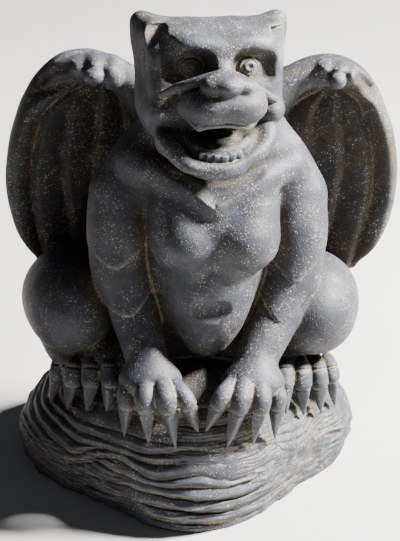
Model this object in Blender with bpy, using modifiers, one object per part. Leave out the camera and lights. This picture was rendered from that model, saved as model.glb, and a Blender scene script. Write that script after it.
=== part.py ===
"""Stone gargoyle: a winged beast crouching on a rock, all carved from one block.

It faces -Y and stands on the XY plane, with +X to its left. The rounded masses of rock, trunk, limbs, wings and
skull overlap in one mesh, which a voxel remesh fuses and smoothing eases. Hollows are then cut from it, finer
carving is joined to it, and the underside is cut flat.
"""

import math

import bmesh
import bpy
from mathutils import Euler, Matrix, Vector

# Driving dimensions, metres unless said otherwise

# The rock: its top at the middle, its centre, and its outline's distance from there by direction in degrees from +X
ROCK_HEIGHT = 0.180
ROCK_BELOW = 0.060
ROCK_CENTRE = Vector((-0.008, -0.005))
ROCK_REACH = (
    (-90, 0.195), (-70, 0.181), (-45, 0.162), (-25, 0.168), (-5, 0.197), (12, 0.212), (35, 0.196), (60, 0.172),
    (90, 0.160), (120, 0.168), (150, 0.200), (180, 0.213), (200, 0.198), (222, 0.178), (240, 0.178), (255, 0.191),
)

# The beast is not quite symmetric: where the middles of its breast, hands, feet and jaw lie
TRUNK_MIDDLE = 0.003
BREAST_MIDDLE = 0.006
HANDS_MIDDLE = -0.004
FEET_MIDDLE = -0.012
JAW_MIDDLE = -0.005

# Half spacings of what it has two of
BREAST_HALF_SPACING = 0.034
EYE_HALF_SPACING = 0.0315
HAUNCH_HALF_SPACING = 0.146

# Claws, round cones with their roots a little inside the finger or toe
CLAW_ROOT_RADIUS = 0.0105
CLAW_TIP_RADIUS = 0.0022
CLAW_SUNK = 0.003

# The wings: their upright plane, and half their outline from the neck over the crown, down the rim and back under
WING_PLANE = 0.094
WING_HALF_THICKNESS = 0.012
WING_EDGE = 0.008
WING_RIM = (
    (0.050, 0.455), (0.090, 0.489), (0.120, 0.505), (0.148, 0.510), (0.179, 0.502), (0.206, 0.475), (0.224, 0.438),
    (0.235, 0.398), (0.240, 0.355), (0.237, 0.315), (0.225, 0.274), (0.205, 0.243), (0.182, 0.220), (0.080, 0.200),
)
# Each long flute of a wing from the wrist down: x, z and radius
FLUTE_AHEAD = 0.024
WING_FLUTES = (
    ((0.166, 0.490, 0.012), (0.210, 0.436, 0.017), (0.227, 0.355, 0.018), (0.217, 0.280, 0.016), (0.198, 0.246, 0.012)),
    ((0.158, 0.474, 0.008), (0.184, 0.430, 0.016), (0.191, 0.355, 0.020), (0.183, 0.252, 0.018)),
    ((0.152, 0.470, 0.007), (0.152, 0.420, 0.015), (0.153, 0.355, 0.019), (0.144, 0.252, 0.018)),
    ((0.142, 0.466, 0.007), (0.124, 0.425, 0.013), (0.117, 0.370, 0.017), (0.108, 0.290, 0.017)),
)

# The head's place, and its turns in degrees: to its left, tipped back, and a touch to one side
HEAD_PLACE = (-0.0075, -0.045, 0.515)
HEAD_TURN = 11.0
HEAD_TIP = -14.0
HEAD_LEAN = 1.5

# Spacing of the skins that fuse the masses, and how often each is smoothed
BODY_VOXEL = 0.0035
BODY_SMOOTHINGS = 8
DETAIL_VOXEL = 0.0020
DETAIL_SMOOTHINGS = 2
SKIN_VOXEL = 0.0026
SKIN_SMOOTHINGS = 2
# Share of the last skin's triangles that is kept
KEPT_SHARE = 0.022

# The stone
STONE_COLOUR = (0.085, 0.083, 0.090, 1.0)
STONE_ROUGHNESS = 0.72

SIDES = (-1, 1)
WORLD = Matrix.Identity(4)


def scaled(sizes):
    """Matrix that scales along X, Y and Z."""
    return Matrix.Diagonal((*sizes, 1.0))


def turned(x=0.0, y=0.0, z=0.0):
    """Matrix of turns in degrees about X, then Y, then Z."""
    return Euler([math.radians(angle) for angle in (x, y, z)]).to_matrix().to_4x4()


HEAD = Matrix.Translation(HEAD_PLACE) @ turned(z=HEAD_TURN) @ turned(x=HEAD_TIP) @ turned(y=HEAD_LEAN)


def mesh_object(name, cage, collection):
    """An object that holds a bmesh's faces, which is then freed."""
    mesh = bpy.data.meshes.new(name)
    cage.to_mesh(mesh)
    cage.free()
    holder = bpy.data.objects.new(name, mesh)
    collection.objects.link(holder)
    return holder


def mesh_of_curve(curve, collection, matrix=WORLD):
    """A curve's own mesh, placed by a matrix; the curve itself is removed."""
    guide = bpy.data.objects.new(curve.name, curve)
    collection.objects.link(guide)
    bpy.context.view_layer.update()
    mesh = bpy.data.meshes.new_from_object(guide.evaluated_get(bpy.context.evaluated_depsgraph_get()))
    mesh.transform(matrix)
    bpy.data.objects.remove(guide)
    bpy.data.curves.remove(curve)
    return mesh


class Masses:
    """Closed forms that overlap, gathered in one mesh."""

    def __init__(self, name):
        self.name = name
        self.mesh = bmesh.new()
        self.limbs = bpy.data.curves.new(name + "_limbs", "CURVE")
        self.limbs.dimensions = "3D"
        self.limbs.bevel_depth = 1.0
        self.limbs.bevel_resolution = 4
        self.limbs.use_fill_caps = True

    def ellipsoid(self, centre, radii, frame=WORLD, rings=12):
        """A ball with three radii, placed in a frame."""
        matrix = frame @ Matrix.Translation(centre) @ scaled(radii)
        bmesh.ops.create_uvsphere(self.mesh, u_segments=2 * rings, v_segments=rings, radius=1.0, matrix=matrix)

    def limb(self, stations, frame=WORLD):
        """A round limb through stations (x, y, z, radius), with round ends."""
        spline = self.limbs.splines.new("BEZIER")
        spline.bezier_points.add(len(stations) - 1)
        spline.resolution_u = 6
        spline.radius_interpolation = "CARDINAL"
        for point, (x, y, z, radius) in zip(spline.bezier_points, stations):
            point.co = frame @ Vector((x, y, z))
            point.radius = radius
            point.handle_left_type = "AUTO"
            point.handle_right_type = "AUTO"
        for x, y, z, radius in (stations[0], stations[-1]):
            self.ellipsoid((x, y, z), (radius,) * 3, frame, rings=8)

    def rounded_box(self, centre, half, rounding, frame=WORLD):
        """A box of half sizes whose edges are rounded."""
        matrix = frame @ Matrix.Translation(centre) @ scaled([2 * size for size in half])
        cube = bmesh.ops.create_cube(self.mesh, size=1.0, matrix=matrix)
        edges = {edge for vertex in cube["verts"] for edge in vertex.link_edges}
        bmesh.ops.bevel(self.mesh, geom=list(edges), offset=rounding, segments=4, profile=0.5, affect="EDGES")

    def take(self, mesh):
        """Add a mesh's faces, and remove the mesh."""
        self.mesh.from_mesh(mesh)
        bpy.data.meshes.remove(mesh)

    def finish(self, collection):
        """The object that holds every form, its limbs turned from tubes into mesh with their caps welded."""
        self.take(mesh_of_curve(self.limbs, collection))
        bmesh.ops.remove_doubles(self.mesh, verts=self.mesh.verts, dist=0.000001)
        return mesh_object(self.name, self.mesh, collection)


# The rock

def rock_reach(degrees):
    """The outline's distance in a direction, on a smooth closed curve through its marks."""
    turned_to = (degrees + 90) % 360 - 90
    count = len(ROCK_REACH)
    marks = [(angle + 360 * turn, reach) for turn in (-1, 0, 1) for angle, reach in ROCK_REACH]
    first = max(index for index in range(count - 1, 2 * count) if marks[index][0] <= turned_to)
    (a0, r0), (a1, r1), (a2, r2), (a3, r3) = marks[first - 1:first + 3]
    share = (turned_to - a1) / (a2 - a1)
    leaving = (r2 - r0) / (a2 - a0) * (a2 - a1)
    arriving = (r3 - r1) / (a3 - a1) * (a2 - a1)
    eased = share * share * (3 - 2 * share)
    swing = share * (1 - share) * ((1 - share) * leaving - share * arriving)
    return r1 + (r2 - r1) * eased + swing


def rock_top(x, y):
    """Height of the rock's upper surface, which falls away from the middle."""
    sideways = 0.50 * (math.hypot(x, 0.03) - 0.03)
    forwards = 3.9 * max(-y - 0.078, 0.0) ** 2
    backwards = 3.0 * max(y - 0.075, 0.0) ** 2
    return ROCK_HEIGHT - sideways - forwards - backwards


def add_rock(body):
    """A boulder with upright swelling sides: a ball whose points are moved onto that form."""
    squareness = 5
    ball = bmesh.ops.create_uvsphere(body.mesh, u_segments=96, v_segments=40, radius=1.0)
    for vertex in ball["verts"]:
        across, rise = math.hypot(vertex.co.x, vertex.co.y), vertex.co.z
        angle = math.atan2(vertex.co.y, vertex.co.x)
        squared = (across ** squareness + abs(rise) ** squareness) ** (-1 / squareness)
        swell = 0.955 + 0.045 * math.sin(math.pi * min(max(rise * squared, 0.0), 1.0))
        reach = rock_reach(math.degrees(angle)) * swell * across * squared
        x = ROCK_CENTRE.x + reach * math.cos(angle)
        y = ROCK_CENTRE.y + reach * math.sin(angle)
        height = rock_top(x, y) if rise > 0 else ROCK_BELOW
        vertex.co = (x, y, rise * squared * height)


# The trunk

def add_trunk(body):
    """Chest, waist, hips, back, neck, belly, shoulders, collar ridge and breast."""
    body.ellipsoid((0.000, 0.000, 0.360), (0.112, 0.078, 0.075))
    body.ellipsoid((0.000, -0.020, 0.290), (0.090, 0.080, 0.090))
    body.ellipsoid((0.000, 0.010, 0.210), (0.122, 0.097, 0.087))
    body.ellipsoid((0.000, 0.048, 0.325), (0.104, 0.064, 0.140))
    body.limb([(TRUNK_MIDDLE, 0.010, 0.400, 0.085), (0.002, 0.000, 0.455, 0.079), (0.000, -0.010, 0.500, 0.071)])
    belly = [(-0.052, 0.350, 0.071), (-0.068, 0.300, 0.063), (-0.082, 0.255, 0.050), (-0.088, 0.222, 0.034)]
    body.limb([(TRUNK_MIDDLE, y, z, radius) for y, z, radius in belly])
    for side in SIDES:
        shoulder = [(0.050, -0.005, 0.450, 0.038), (0.078, -0.014, 0.412, 0.041), (0.099, -0.020, 0.372, 0.042)]
        body.limb([(TRUNK_MIDDLE + side * x, y, z, radius) for x, y, z, radius in shoulder])
        collar = [(0.000, -0.084, 0.392, 0.016), (0.035, -0.080, 0.405, 0.018), (0.070, -0.056, 0.417, 0.020)]
        body.limb([(TRUNK_MIDDLE + side * x, y, z, radius) for x, y, z, radius in collar])
        body.ellipsoid((BREAST_MIDDLE + side * BREAST_HALF_SPACING, -0.083, 0.339), (0.042, 0.043, 0.042))


def add_arm(body, features, side):
    """Upper arm, forearm and the two muscles that end in points on them."""
    upper = [(0.100, -0.022, 0.372, 0.041), (0.104, -0.040, 0.330, 0.0380), (0.101, -0.050, 0.285, 0.0335)]
    lower = [(0.101, -0.048, 0.292, 0.0335), (0.083, -0.076, 0.240, 0.0295), (0.068, -0.108, 0.205, 0.027)]
    biceps = [(0.105, -0.058, 0.345, 0.024), (0.105, -0.069, 0.314, 0.0195), (0.103, -0.074, 0.286, 0.0065)]
    forearm = [(0.098, -0.070, 0.280, 0.015), (0.092, -0.081, 0.262, 0.0155), (0.083, -0.093, 0.240, 0.006)]
    lower += [(0.062, -0.130, 0.185, 0.026)]
    for masses, stations in ((body, upper), (body, lower), (features, biceps), (features, forearm)):
        masses.limb([(side * x - 0.001, y, z, radius) for x, y, z, radius in stations])


def add_digit(features, stations, tip):
    """A toe or finger and the claw at its end, which starts a little inside it."""
    features.limb(stations)
    end = Vector(stations[-1][:3])
    root = end + (Vector(tip) - end).normalized() * CLAW_SUNK
    features.limb([(*root, CLAW_ROOT_RADIUS), (*tip, CLAW_TIP_RADIUS)])


def add_hand(body, features, side):
    """A broad hand laid on the rock, with four clawed fingers."""
    fingers = (
        (((0.032, -0.140, 0.186, 0.012), (0.022, -0.166, 0.181, 0.0135), (0.0155, -0.180, 0.168, 0.0118)),
         (0.007, -0.194, 0.149)),
        (((0.046, -0.145, 0.188, 0.013), (0.040, -0.174, 0.183, 0.0150), (0.0365, -0.188, 0.165, 0.0128)),
         (0.031, -0.205, 0.137)),
        (((0.066, -0.145, 0.186, 0.013), (0.063, -0.174, 0.180, 0.0150), (0.062, -0.188, 0.162, 0.0128)),
         (0.060, -0.205, 0.135)),
        (((0.082, -0.135, 0.178, 0.012), (0.085, -0.163, 0.173, 0.0135), (0.086, -0.177, 0.158, 0.0115)),
         (0.086, -0.193, 0.140)),
    )
    body.ellipsoid((HANDS_MIDDLE + side * 0.056, -0.142, 0.178), (0.037, 0.034, 0.026))
    for stations, (x, y, z) in fingers:
        placed = [(HANDS_MIDDLE + side * sx, sy, sz, radius) for sx, sy, sz, radius in stations]
        add_digit(features, placed, (HANDS_MIDDLE + side * x, y, z))


def add_leg(body, features, side):
    """A great round haunch with the shin tucked under it, and a foot of four clawed toes."""
    # The shin shows outside its right haunch and hides under its left one
    tuck = 0.034 if side > 0 else 0.014
    body.ellipsoid((FEET_MIDDLE + side * HAUNCH_HALF_SPACING, -0.010, 0.222), (0.057, 0.080, 0.061))
    hip = [(0.110, 0.050, 0.215, 0.060), (0.148, 0.020, 0.213, 0.055)]
    body.limb([(FEET_MIDDLE + side * x, y, z, radius) for x, y, z, radius in hip])
    shin = [(0.174, 0.030, 0.158, 0.028), (0.165, -0.010, 0.158, 0.026), (0.155, -0.040, 0.152, 0.026)]
    body.limb([(FEET_MIDDLE + side * (x - tuck), y, z, radius) for x, y, z, radius in shin])
    # The space between haunch, arm and belly is left full
    body.ellipsoid((FEET_MIDDLE + side * 0.090, -0.060, 0.165), (0.045, 0.060, 0.040))
    # Root, knuckle and last joint of each toe, then its claw's tip, from the innermost toe out
    toes = (
        ((0.108, -0.050, 0.166), (0.109, -0.080, 0.156), (0.110, -0.092, 0.140), (0.108, -0.108, 0.116)),
        ((0.130, -0.045, 0.162), (0.131, -0.078, 0.152), (0.131, -0.089, 0.135), (0.129, -0.104, 0.112)),
        ((0.152, -0.035, 0.157), (0.154, -0.064, 0.148), (0.154, -0.075, 0.132), (0.150, -0.091, 0.108)),
        ((0.165, -0.026, 0.150), (0.170, -0.050, 0.141), (0.172, -0.060, 0.127), (0.173, -0.074, 0.103)),
    )
    # The outer toes' roots lean in, more on its left foot
    lean_in = 0.012 if side > 0 else 0.003
    for order, (*joints, (x, y, z)) in enumerate(toes):
        leans = [lean_in * order / 3 * share for share in (1.0, 0.6, 0.0)]
        radii = (0.0138, 0.0138, 0.0120)
        placed = [(FEET_MIDDLE + side * (jx - lean), jy, jz, radius)
                  for (jx, jy, jz), lean, radius in zip(joints, leans, radii)]
        add_digit(features, placed, (FEET_MIDDLE + side * x, y, z))


# The wings

def add_wing(body, side, helpers):
    """A folded wing: a slab with a rounded rim, flutes that fan from the wrist, the wing's arm and its knuckles."""
    outline = bpy.data.curves.new("wing_outline", "CURVE")
    outline.dimensions = "2D"
    outline.fill_mode = "BOTH"
    outline.extrude = WING_HALF_THICKNESS
    outline.bevel_depth = WING_EDGE
    outline.offset = -WING_EDGE
    outline.bevel_resolution = 3
    spline = outline.splines.new("POLY")
    spline.points.add(len(WING_RIM) - 1)
    spline.use_cyclic_u = True
    for point, (x, z) in zip(spline.points, WING_RIM):
        point.co = (side * x, z, 0.0, 1.0)
    upright = Matrix.Translation((0.0, WING_PLANE, 0.0)) @ turned(x=90)
    body.take(mesh_of_curve(outline, helpers, upright))
    for flute in WING_FLUTES:
        body.limb([(side * x, WING_PLANE - FLUTE_AHEAD + 0.5 * radius, z, radius) for x, z, radius in flute])
    arm = [(0.060, 0.060, 0.450, 0.031), (0.090, 0.066, 0.472, 0.025), (0.120, 0.068, 0.485, 0.022)]
    wrist = [(0.148, 0.070, 0.488, 0.021), (0.172, 0.076, 0.482, 0.019)]
    body.limb([(side * x, y, z, radius) for x, y, z, radius in arm + wrist])
    body.ellipsoid((side * 0.122, 0.055, 0.496), (0.020, 0.020, 0.014))
    body.ellipsoid((side * 0.146, 0.048, 0.491), (0.020, 0.022, 0.017))
    body.ellipsoid((side * 0.145, 0.027, 0.488), (0.0145, 0.0145, 0.0145))


# The head, in its own frame

def add_skull(body):
    """Box-shaped skull with drawn-out ears at its corners, brows, cheeks, jaw and muzzle."""
    body.rounded_box((0.0, -0.004, 0.020), (0.077, 0.054, 0.060), 0.026, HEAD)
    body.ellipsoid((0.0, -0.004, -0.028), (0.081, 0.059, 0.053), HEAD)
    body.ellipsoid((0.0, -0.026, 0.058), (0.067, 0.035, 0.023), HEAD)
    body.ellipsoid((-0.006, -0.045, -0.068), (0.046, 0.048, 0.024), HEAD)
    body.ellipsoid((0.0, -0.072, -0.0085), (0.050, 0.050, 0.029), HEAD)
    ear_back = ((0.0775, -0.004, 0.0790, 0.012), (0.0755, -0.003, 0.056, 0.014), (0.071, -0.004, 0.025, 0.014))
    ear_top = ((0.0775, -0.004, 0.0790, 0.012), (0.060, -0.008, 0.073, 0.014), (0.030, -0.010, 0.068, 0.015))
    brow = ((0.0, -0.057, 0.055, 0.013), (0.025, -0.060, 0.060, 0.013), (0.048, -0.054, 0.056, 0.012))
    for side in SIDES:
        for stations in (ear_back, ear_top, (*brow, (0.065, -0.044, 0.037, 0.010))):
            body.limb([(side * x, y, z, radius) for x, y, z, radius in stations], HEAD)
        body.ellipsoid((side * 0.070, -0.010, 0.066), (0.018, 0.030, 0.020), HEAD)
        body.ellipsoid((side * 0.063, -0.034, -0.024), (0.018, 0.027, 0.019), HEAD)
        body.ellipsoid((side * 0.056 - 0.003, -0.030, -0.053), (0.018, 0.034, 0.018), HEAD)


def add_hollows(hollows):
    """What is cut away: eye hollows, open mouth, ear hollows and navel."""
    hollows.ellipsoid((-0.004, -0.086, -0.046), (0.031, 0.042, 0.0135), HEAD)
    hollows.ellipsoid((0.002, -0.139, 0.265), (0.026, 0.014, 0.014))
    mouth = ((0.0, -0.090, -0.046, 0.011), (0.030, -0.082, -0.043, 0.0105), (0.052, -0.068, -0.037, 0.0075))
    ear = ((0.068, -0.052, 0.070, 0.0120), (0.072, -0.052, 0.052, 0.004))
    for side in SIDES:
        hollows.ellipsoid((side * 0.034, -0.074, 0.029), (0.031, 0.026, 0.021), HEAD)
        hollows.ellipsoid((side * 0.057, -0.064, 0.018), (0.0135, 0.022, 0.021), HEAD)
        for stations in ((*mouth, (0.066, -0.050, -0.035, 0.0045)), ear):
            hollows.limb([(side * x, y, z, radius) for x, y, z, radius in stations], HEAD)


def add_face(features):
    """What stands proud on the head: eyes, snarl fold, nose, lips and gum."""
    features.ellipsoid((0.0, -0.094, 0.0175), (0.0235, 0.024, 0.0125), HEAD)
    features.ellipsoid((0.0, -0.110, 0.0125), (0.013, 0.014, 0.011), HEAD)
    half_fold = ((0.0, -0.088, 0.025, 0.0065), (0.0255, -0.083, 0.0185, 0.006), (0.044, -0.073, 0.0105, 0.006))
    for side in SIDES:
        features.ellipsoid((side * EYE_HALF_SPACING, -0.048, 0.030), (0.0205, 0.0125, 0.020), HEAD)
        features.ellipsoid((side * 0.0225, -0.101, 0.012), (0.0115, 0.0115, 0.009), HEAD)
        fold = (*half_fold, (0.062, -0.057, 0.001, 0.0055))
        features.limb([(side * x, y, z, radius) for x, y, z, radius in fold], HEAD)
    upper_lip = ((0.036, -0.082, -0.024, 0.007), (0.020, -0.100, -0.0305, 0.0065), (0.0, -0.106, -0.028, 0.006))
    gum = ((0.040, -0.066, -0.053, 0.0065), (0.023, -0.082, -0.057, 0.0065), (0.0, -0.088, -0.059, 0.0065))
    lower_lip = ((0.064, -0.036, -0.041, 0.009), (0.056, -0.058, -0.052, 0.0105), (0.028, -0.086, -0.069, 0.007),
                 (0.0, -0.095, -0.0735, 0.006))
    for half in (upper_lip, gum, lower_lip):
        left = [(JAW_MIDDLE - x, y, z, radius) for x, y, z, radius in half]
        right = [(JAW_MIDDLE + x, y, z, radius) for x, y, z, radius in reversed(half[:-1])]
        features.limb(left + right, HEAD)


# Putting it together

def stone_material():
    """Dark grey volcanic stone."""
    material = bpy.data.materials.new("dark_volcanic_stone")
    material.use_nodes = True
    shader = material.node_tree.nodes["Principled BSDF"]
    shader.inputs["Base Color"].default_value = STONE_COLOUR
    shader.inputs["Roughness"].default_value = STONE_ROUGHNESS
    shader.inputs["Metallic"].default_value = 0.0
    return material


def fuse(holder, voxel, smoothings):
    """Make overlapping forms one skin, and ease its creases."""
    remesh = holder.modifiers.new("Fuse", "REMESH")
    remesh.mode = "VOXEL"
    remesh.voxel_size = voxel
    remesh.use_smooth_shade = True
    ease = holder.modifiers.new("Ease", "SMOOTH")
    ease.factor = 0.5
    ease.iterations = smoothings


def combine(holder, other, operation):
    """Boolean with a helper, kept as a modifier."""
    boolean = holder.modifiers.new(other.name, "BOOLEAN")
    boolean.operation = operation
    boolean.object = other
    boolean.solver = "EXACT"
    other.hide_render = True
    other.display_type = "WIRE"


def ground_block(collection):
    """A block below the standing plane, to cut the underside flat."""
    depth = 0.1
    block = bmesh.new()
    matrix = Matrix.Translation((0.0, 0.0, -depth / 2)) @ scaled((1.0, 1.0, depth))
    bmesh.ops.create_cube(block, size=1.0, matrix=matrix)
    return mesh_object("ground", block, collection)


def main():
    for leftover in list(bpy.data.objects):
        bpy.data.objects.remove(leftover)
    parts = bpy.data.collections.new("stone_gargoyle")
    helpers = bpy.data.collections.new("carving_helpers")
    bpy.context.scene.collection.children.link(parts)
    bpy.context.scene.collection.children.link(helpers)

    body, hollows, features = Masses("gargoyle"), Masses("hollows"), Masses("features")
    add_rock(body)
    add_trunk(body)
    for side in SIDES:
        add_arm(body, features, side)
        add_hand(body, features, side)
        add_leg(body, features, side)
        add_wing(body, side, helpers)
    add_skull(body)
    add_hollows(hollows)
    add_face(features)

    gargoyle = body.finish(parts)
    gargoyle.data.materials.append(stone_material())
    fuse(gargoyle, BODY_VOXEL, BODY_SMOOTHINGS)
    for masses, operation in ((hollows, "DIFFERENCE"), (features, "UNION")):
        helper = masses.finish(helpers)
        fuse(helper, DETAIL_VOXEL, DETAIL_SMOOTHINGS)
        combine(gargoyle, helper, operation)
    fuse(gargoyle, SKIN_VOXEL, SKIN_SMOOTHINGS)
    thin = gargoyle.modifiers.new("Thin", "DECIMATE")
    thin.ratio = KEPT_SHARE
    combine(gargoyle, ground_block(helpers), "DIFFERENCE")


main()
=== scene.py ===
"""Stone gargoyle: a winged beast that crouches on a rock, all carved from one block of dark volcanic stone.

It faces -Y and stands on the XY plane, with +X to its left. The carving is worked out on a grid of distances
to the stone's skin: rounded masses are blended in, hollows and grooves are cut, and the skin is one mesh.
"""

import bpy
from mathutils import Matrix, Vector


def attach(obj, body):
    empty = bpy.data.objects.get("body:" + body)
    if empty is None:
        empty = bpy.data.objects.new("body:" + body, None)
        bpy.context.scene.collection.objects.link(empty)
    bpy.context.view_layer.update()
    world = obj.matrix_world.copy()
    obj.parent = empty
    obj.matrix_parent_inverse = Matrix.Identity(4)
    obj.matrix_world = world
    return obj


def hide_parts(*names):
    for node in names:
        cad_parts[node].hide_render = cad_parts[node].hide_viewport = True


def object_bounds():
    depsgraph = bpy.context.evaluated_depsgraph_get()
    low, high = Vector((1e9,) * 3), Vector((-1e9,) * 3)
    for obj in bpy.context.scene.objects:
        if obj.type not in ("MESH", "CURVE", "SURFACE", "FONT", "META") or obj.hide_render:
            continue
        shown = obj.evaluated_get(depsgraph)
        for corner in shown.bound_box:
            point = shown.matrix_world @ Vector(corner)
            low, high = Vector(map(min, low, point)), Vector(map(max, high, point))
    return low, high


bl_info = {
    "name": "Stone gargoyle",
    "version": (1, 0, 0),
    "blender": (4, 5, 0),
    "location": "3D View > Sidebar > Gargoyle",
    "description": "Carves a stone gargoyle, finishes it and sets up a small studio",
    "category": "Object",
}

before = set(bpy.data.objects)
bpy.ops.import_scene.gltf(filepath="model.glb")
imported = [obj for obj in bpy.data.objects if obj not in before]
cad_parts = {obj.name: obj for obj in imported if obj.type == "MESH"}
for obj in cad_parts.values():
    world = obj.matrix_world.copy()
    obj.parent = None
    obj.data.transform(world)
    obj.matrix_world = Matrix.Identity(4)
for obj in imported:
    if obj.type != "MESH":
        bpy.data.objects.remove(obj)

import itertools

import bpy
import numpy as np
import openvdb
from mathutils import Quaternion, Vector

CAD_LOW, CAD_HIGH = [list(corner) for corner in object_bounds()]

SIDES = (-1, 1)
MM = 0.001
# Distances are kept up to this far from the skin, and fine relief is worked out this near to it
FAR = 0.05
NEAR = 0.012
# A form is worked out at least this far beyond its box
LEAST_MARGIN = 0.004


# ---------------------------------------------------------------- carving tools

def smooth_min(a, b, blend):
    """The lesser of two distances, rounded where they meet."""
    if blend <= 0:
        return np.minimum(a, b)
    near = np.maximum(blend - np.abs(a - b), 0) / blend
    return np.minimum(a, b) - near * near * (blend / 4)


def smooth_max(a, b, blend):
    """The greater of two distances, rounded where they meet."""
    return -smooth_min(-a, -b, blend)


def rise(value, start, end):
    """An eased ramp from 0 at start to 1 at end."""
    share = np.clip((value - start) / (end - start), 0, 1)
    return share * share * (3 - 2 * share)


def unit(vector):
    vector = np.asarray(vector, float)
    return vector / np.linalg.norm(vector)


def turned(x=0.0, y=0.0, z=0.0):
    """Rotation by degrees about X, then Y, then Z."""
    a, b, c = np.radians([x, y, z])
    about_x = np.array([[1, 0, 0], [0, np.cos(a), -np.sin(a)], [0, np.sin(a), np.cos(a)]])
    about_y = np.array([[np.cos(b), 0, np.sin(b)], [0, 1, 0], [-np.sin(b), 0, np.cos(b)]])
    about_z = np.array([[np.cos(c), -np.sin(c), 0], [np.sin(c), np.cos(c), 0], [0, 0, 1]])
    return about_z @ about_y @ about_x


def facing(aim):
    """Rotation whose Y axis points along aim, with X kept level."""
    forward = unit(aim)
    sideways = unit(np.cross(forward, (0.0, 0.0, 1.0)))
    return np.column_stack([sideways, forward, np.cross(sideways, forward)])


def between(table, whole, share):
    """Values between a table's entries, which lie a share of a step beyond the whole ones along each axis."""
    result = 0
    for corner in itertools.product((0, 1), repeat=3):
        weight = 1
        for step, part in zip(corner, share):
            weight = weight * (part if step else 1 - part)
        entry = tuple((first + step) % size for first, step, size in zip(whole, corner, table.shape))
        result = result + weight * table[entry]
    return result


class Place:
    """A form's own axes: where they start and how they are turned."""

    def __init__(self, origin=(0, 0, 0), rotation=None):
        self.origin = np.asarray(origin, float)
        self.rotation = np.eye(3) if rotation is None else rotation

    def point(self, local):
        return self.rotation @ np.multiply(local, MM) + self.origin

    def inside(self, origin, rotation=None):
        """A place given within this one."""
        return Place(self.point(origin), self.rotation if rotation is None else self.rotation @ rotation)

    def local(self, x, y, z):
        x, y, z = x - self.origin[0], y - self.origin[1], z - self.origin[2]
        r = self.rotation.astype(np.float32)
        return tuple(r[0, k] * x + r[1, k] * y + r[2, k] * z for k in range(3))

    def reach(self, half):
        """Corners of the upright box round a centred box of half sizes."""
        spread = np.abs(self.rotation) @ np.asarray(half, float)
        return self.origin - spread, self.origin + spread


WORLD = Place()


# Each form is a distance function with the lowest and highest corner of the box that holds it. Its sizes, and
# the blends, are given in millimetres; distances, and the grid, are in metres.

def ellipsoid(centre, radii, place=WORLD, rotation=None):
    here = place.inside(centre, rotation)
    r = np.multiply(radii, MM)

    def distance(x, y, z):
        x, y, z = here.local(x, y, z)
        near = np.sqrt((x / r[0]) ** 2 + (y / r[1]) ** 2 + (z / r[2]) ** 2)
        slope = np.sqrt((x / r[0] ** 2) ** 2 + (y / r[1] ** 2) ** 2 + (z / r[2] ** 2) ** 2)
        return near * (near - 1) / np.maximum(slope, 1e-6)

    return distance, *here.reach(r)


def bone(start, end, start_radius, end_radius, place=WORLD):
    """A round cone."""
    a, b = place.point(start), place.point(end)
    start_radius, end_radius = start_radius * MM, end_radius * MM
    length = max(np.linalg.norm(b - a), 1e-9)
    axis = (b - a) / length
    sine = np.clip((start_radius - end_radius) / length, -0.999, 0.999)
    lean = sine / np.sqrt(1 - sine * sine)

    def distance(x, y, z):
        x, y, z = x - a[0], y - a[1], z - a[2]
        along = x * axis[0] + y * axis[1] + z * axis[2]
        across = np.sqrt(np.maximum(x * x + y * y + z * z - along * along, 0))
        share = np.clip((along + across * lean) / length, 0, 1)
        rest = along - share * length
        return np.sqrt(across * across + rest * rest) - (start_radius + (end_radius - start_radius) * share)

    low = np.minimum(a - start_radius, b - end_radius)
    high = np.maximum(a + start_radius, b + end_radius)
    return distance, low, high


def smooth_path(points, steps):
    """A Catmull-Rom curve through rows of numbers."""
    p = np.asarray(points, float)
    p = np.vstack([2 * p[0] - p[1], p, 2 * p[-1] - p[-2]])
    rows = []
    for k in range(1, len(p) - 2):
        for t in np.linspace(0, 1, steps, endpoint=False):
            bend = 2 * p[k - 1] - 5 * p[k] + 4 * p[k + 1] - p[k + 2]
            twist = 3 * p[k] - p[k - 1] - 3 * p[k + 1] + p[k + 2]
            rows.append(0.5 * (2 * p[k] + (p[k + 1] - p[k - 1]) * t + bend * t ** 2 + twist * t ** 3))
    rows.append(p[-2])
    return np.array(rows)


def mirrored(places, side, middle=0):
    """Rows (x, y, z, ...) given outwards from a middle line, laid on one side of it."""
    return [(middle + side * x, *rest) for x, *rest in places]


def limb(stations, steps=4, place=WORLD):
    """A round tapered sweep through stations (x, y, z, radius)."""
    path = smooth_path(stations, steps)
    parts = [bone(a[:3], b[:3], a[3], b[3], place) for a, b in zip(path, path[1:])]

    def distance(x, y, z):
        result = parts[0][0](x, y, z)
        for part in parts[1:]:
            result = np.minimum(result, part[0](x, y, z))
        return result

    return distance, np.min([p[1] for p in parts], 0), np.max([p[2] for p in parts], 0)


def box(centre, half, rounding, place=WORLD, rotation=None):
    here = place.inside(centre, rotation)
    half, rounding = np.multiply(half, MM), rounding * MM
    core = half - rounding

    def distance(x, y, z):
        x, y, z = here.local(x, y, z)
        x, y, z = np.abs(x) - core[0], np.abs(y) - core[1], np.abs(z) - core[2]
        outside = np.sqrt(np.maximum(x, 0) ** 2 + np.maximum(y, 0) ** 2 + np.maximum(z, 0) ** 2)
        return outside + np.minimum(np.maximum(x, np.maximum(y, z)), 0) - rounding

    return distance, *here.reach(half)


def ring(centre, radius, wire, place=WORLD, rotation=None):
    """A ring about its own Y axis."""
    here = place.inside(centre, rotation)
    radius, wire = radius * MM, wire * MM

    def distance(x, y, z):
        x, y, z = here.local(x, y, z)
        return np.sqrt((np.sqrt(x * x + z * z) - radius) ** 2 + y * y) - wire

    return distance, here.origin - radius - wire, here.origin + radius + wire


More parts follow.
